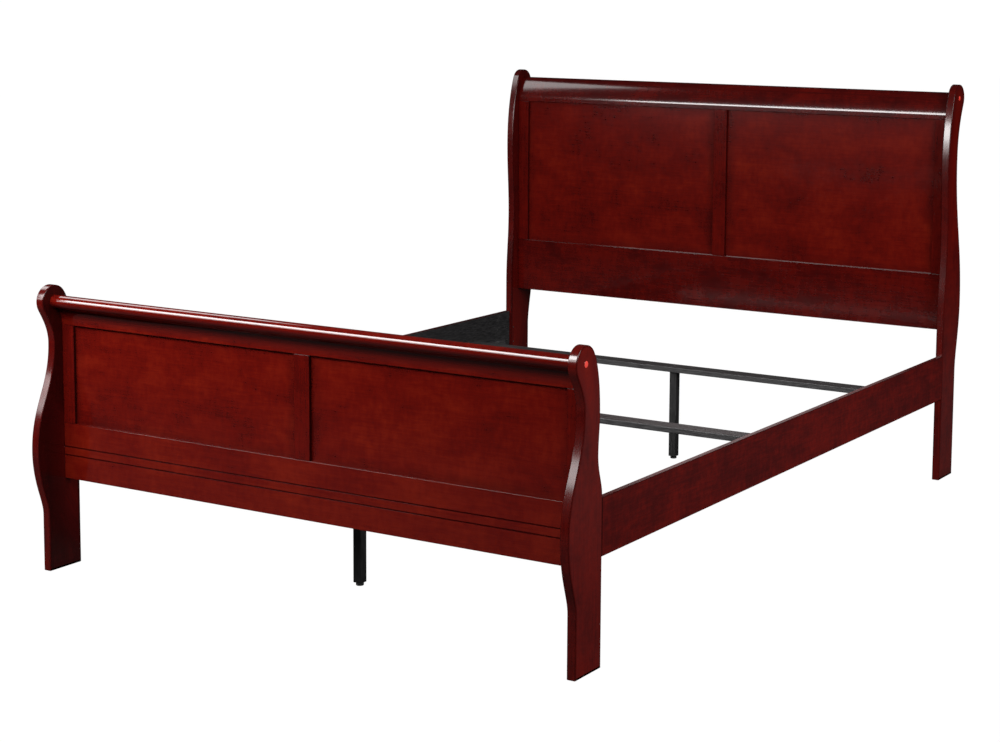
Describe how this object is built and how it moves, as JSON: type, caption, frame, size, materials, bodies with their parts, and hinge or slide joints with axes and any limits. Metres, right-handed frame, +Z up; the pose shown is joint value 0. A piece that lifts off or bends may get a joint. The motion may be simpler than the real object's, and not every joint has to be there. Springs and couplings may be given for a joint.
{
  "type": "sleigh bed",
  "caption": "Queen sleigh bed frame with scrolled headboard and footboard, framed flat panels, hook-on side rails, and slats on centre support legs.",
  "frame": {"origin": "on the floor, at the middle of the bed's length and width", "axes": "+Z up, +Y towards the headboard, +X to the right of someone who stands at the foot and looks at the headboard"},
  "size_m": [1.602, 2.3612, 1.223],
  "materials": {
    "cherry_post": "dark cherry stain under glossy lacquer",
    "cherry_rail": "dark cherry stain under glossy lacquer",
    "cherry_panel": "red cherry stain under glossy lacquer",
    "cherry_side_rail": "dark cherry stain under satin lacquer",
    "cherry_plug": "bright red stained end grain under lacquer",
    "black_wood": "black painted softwood, satin",
    "black_leg": "black painted wood, satin",
    "zinc_steel": "zinc plated",
    "black_foot": "black moulded plastic foot on a stud"
  },
  "bodies": {
    "root": {"centre_leg_front": "black_leg", "centre_leg_middle": "black_leg", "centre_leg_rear": "black_leg", "footboard_bottom_rail": "cherry_rail", "footboard_panel_left": "cherry_panel", "footboard_panel_right": "cherry_panel", "footboard_plug_left": "cherry_plug", "footboard_plug_right": "cherry_plug", "footboard_post_left": "cherry_post", "footboard_post_right": "cherry_post", "footboard_stile_centre": "cherry_rail", "footboard_stile_left": "cherry_rail", "footboard_stile_right": "cherry_rail", "footboard_top_rail": "cherry_rail", "headboard_bottom_rail": "cherry_rail", "headboard_panel_left": "cherry_panel", "headboard_panel_right": "cherry_panel", "headboard_plug_left": "cherry_plug", "headboard_plug_right": "cherry_plug", "headboard_post_left": "cherry_post", "headboard_post_right": "cherry_post", "headboard_stile_centre": "cherry_rail", "headboard_stile_left": "cherry_rail", "headboard_stile_right": "cherry_rail", "headboard_top_rail": "cherry_rail", "leg_screw_front": "zinc_steel", "leg_screw_middle": "zinc_steel", "leg_screw_rear": "zinc_steel", "post_pin_footboard_left_lower": "zinc_steel", "post_pin_footboard_left_upper": "zinc_steel", "post_pin_footboard_right_lower": "zinc_steel", "post_pin_footboard_right_upper": "zinc_steel", "post_pin_headboard_left_lower": "zinc_steel", "post_pin_headboard_left_upper": "zinc_steel", "post_pin_headboard_right_lower": "zinc_steel", "post_pin_headboard_right_upper": "zinc_steel", "rail_hook_footboard_left": "zinc_steel", "rail_hook_footboard_right": "zinc_steel", "rail_hook_headboard_left": "zinc_steel", "rail_hook_headboard_right": "zinc_steel", "rail_pin_footboard_left_lower": "zinc_steel", "rail_pin_footboard_left_upper": "zinc_steel", "rail_pin_footboard_right_lower": "zinc_steel", "rail_pin_footboard_right_upper": "zinc_steel", "rail_pin_headboard_left_lower": "zinc_steel", "rail_pin_headboard_left_upper": "zinc_steel", "rail_pin_headboard_right_lower": "zinc_steel", "rail_pin_headboard_right_upper": "zinc_steel", "side_rail_left": "cherry_side_rail", "side_rail_right": "cherry_side_rail", "slat_cleat_left": "black_wood", "slat_cleat_right": "black_wood", "slat_front": "black_wood", "slat_middle": "black_wood", "slat_rear": "black_wood"},
    "foot_front": {"levelling_foot_front": "black_foot"},
    "foot_middle": {"levelling_foot_middle": "black_foot"},
    "foot_rear": {"levelling_foot_rear": "black_foot"}
  },
  "joints": [
    {"name": "foot_front_turn", "type": "hinge", "parent": "root", "child": "foot_front", "pos_m": [0, -0.86165, 0.02], "axis": [0, 0, 1], "continuous": true},
    {"name": "foot_middle_turn", "type": "hinge", "parent": "root", "child": "foot_middle", "pos_m": [0, 0.01035, 0.02], "axis": [0, 0, 1], "continuous": true},
    {"name": "foot_rear_turn", "type": "hinge", "parent": "root", "child": "foot_rear", "pos_m": [0, 0.79535, 0.02], "axis": [0, 0, 1], "continuous": true}
  ]
}
